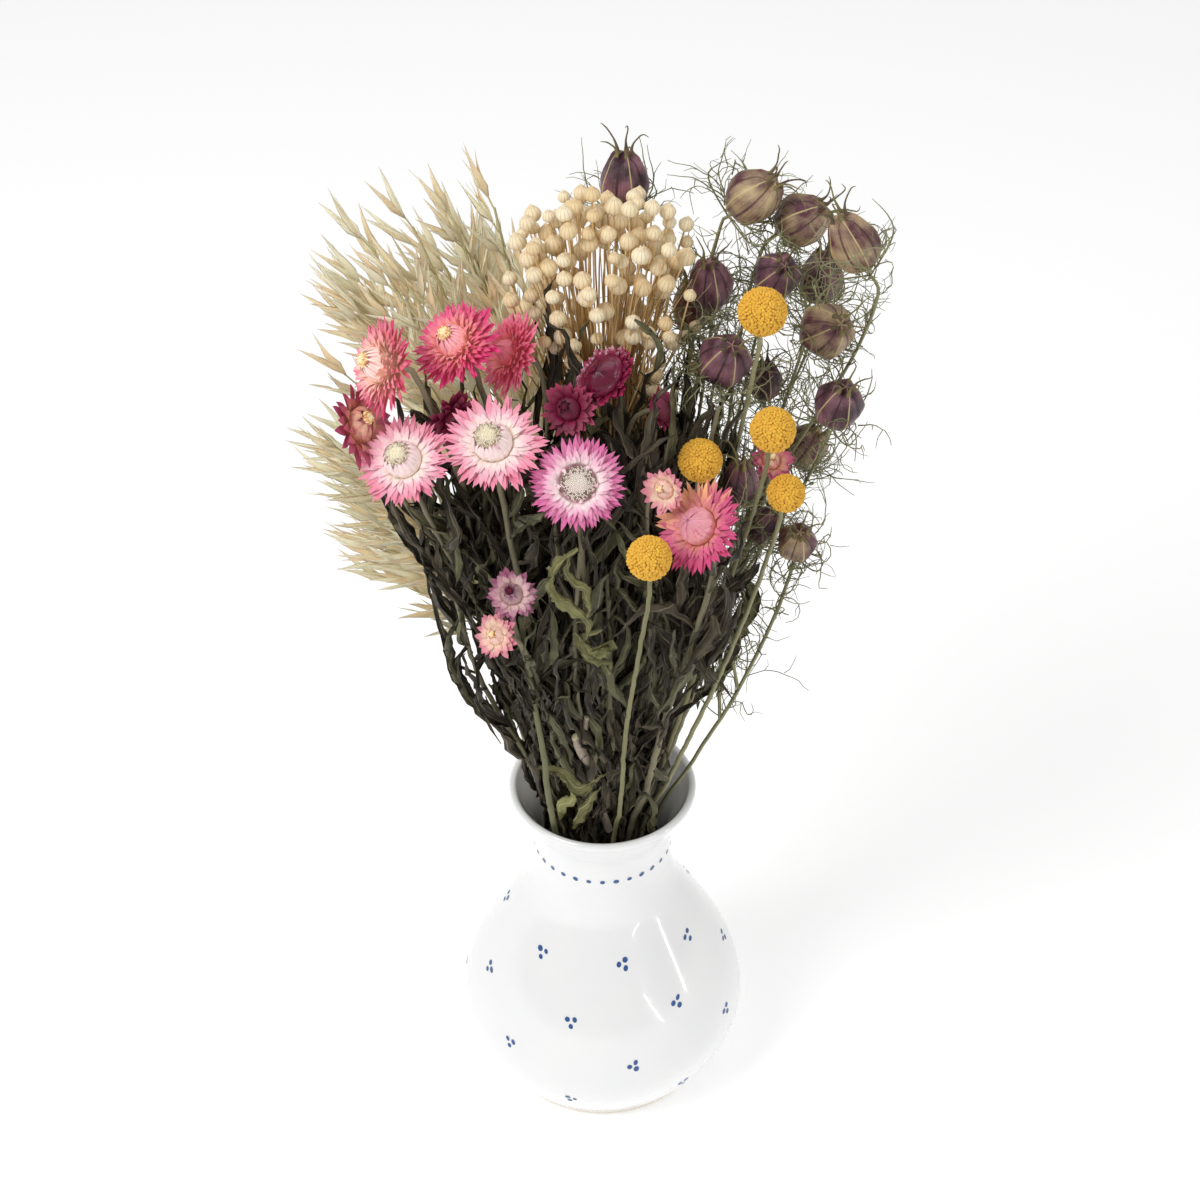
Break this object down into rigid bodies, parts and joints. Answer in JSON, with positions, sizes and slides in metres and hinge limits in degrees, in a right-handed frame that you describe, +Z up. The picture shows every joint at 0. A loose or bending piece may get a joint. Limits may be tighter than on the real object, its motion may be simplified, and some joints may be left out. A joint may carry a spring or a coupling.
{
  "type": "dried flower bouquet",
  "caption": "Dried bouquet of strawflowers, seed pods, round yellow heads, flax and oats in a glazed pear-shaped vase.",
  "frame": {"origin": "middle of the vase's flat foot, where it stands", "axes": "+Z up along the vase's axis, -Y towards the bouquet's front, where the strawflowers are"},
  "size_m": [0.2618, 0.181, 0.4973],
  "materials": {
    "vase_glaze": "gloss",
    "coral_bracts": "satin",
    "pale_bracts": "satin",
    "bright_bracts": "satin",
    "burgundy_bracts": "satin",
    "dusty_bracts": "satin",
    "pod_skin": "satin",
    "pod_stem": "matte",
    "button_florets": "matte",
    "button_stem": "matte",
    "flax_straw": "matte",
    "oat_straw": "matte",
    "dry_leaf": "matte"
  },
  "bodies": {
    "root": {"billy_button_1": "button_florets", "billy_button_1_stem": "button_stem", "billy_button_2": "button_florets", "billy_button_2_stem": "button_stem", "billy_button_3": "button_florets", "billy_button_3_stem": "button_stem", "billy_button_4": "button_florets", "billy_button_4_stem": "button_stem", "billy_button_5": "button_florets", "billy_button_5_stem": "button_stem", "flax_bunch": "flax_straw", "nigella_pod_1": "pod_skin", "nigella_pod_10": "pod_skin", "nigella_pod_11": "pod_skin", "nigella_pod_12": "pod_skin", "nigella_pod_13": "pod_skin", "nigella_pod_14": "pod_skin", "nigella_pod_15": "pod_skin", "nigella_pod_16": "pod_skin", "nigella_pod_2": "pod_skin", "nigella_pod_3": "pod_skin", "nigella_pod_4": "pod_skin", "nigella_pod_5": "pod_skin", "nigella_pod_6": "pod_skin", "nigella_pod_7": "pod_skin", "nigella_pod_8": "pod_skin", "nigella_pod_9": "pod_skin", "nigella_stem_1": "pod_stem", "nigella_stem_2": "pod_stem", "nigella_stem_3": "pod_stem", "nigella_stem_4": "pod_stem", "nigella_stem_5": "pod_stem", "oats_1": "oat_straw", "oats_2": "oat_straw", "oats_3": "oat_straw", "strawflower_1": "coral_bracts", "strawflower_10": "burgundy_bracts", "strawflower_11": "coral_bracts", "strawflower_12": "pale_bracts", "strawflower_13": "pale_bracts", "strawflower_14": "dusty_bracts", "strawflower_15": "dusty_bracts", "strawflower_16": "burgundy_bracts", "strawflower_2": "coral_bracts", "strawflower_3": "coral_bracts", "strawflower_4": "dusty_bracts", "strawflower_5": "pale_bracts", "strawflower_6": "pale_bracts", "strawflower_7": "bright_bracts", "strawflower_8": "burgundy_bracts", "strawflower_9": "burgundy_bracts", "strawflower_stem_1": "dry_leaf", "strawflower_stem_2": "dry_leaf", "strawflower_stem_3": "dry_leaf", "strawflower_stem_4": "dry_leaf", "strawflower_stem_5": "dry_leaf", "strawflower_stem_6": "dry_leaf", "strawflower_stem_7": "dry_leaf", "vase": "vase_glaze"}
  },
  "joints": []
}
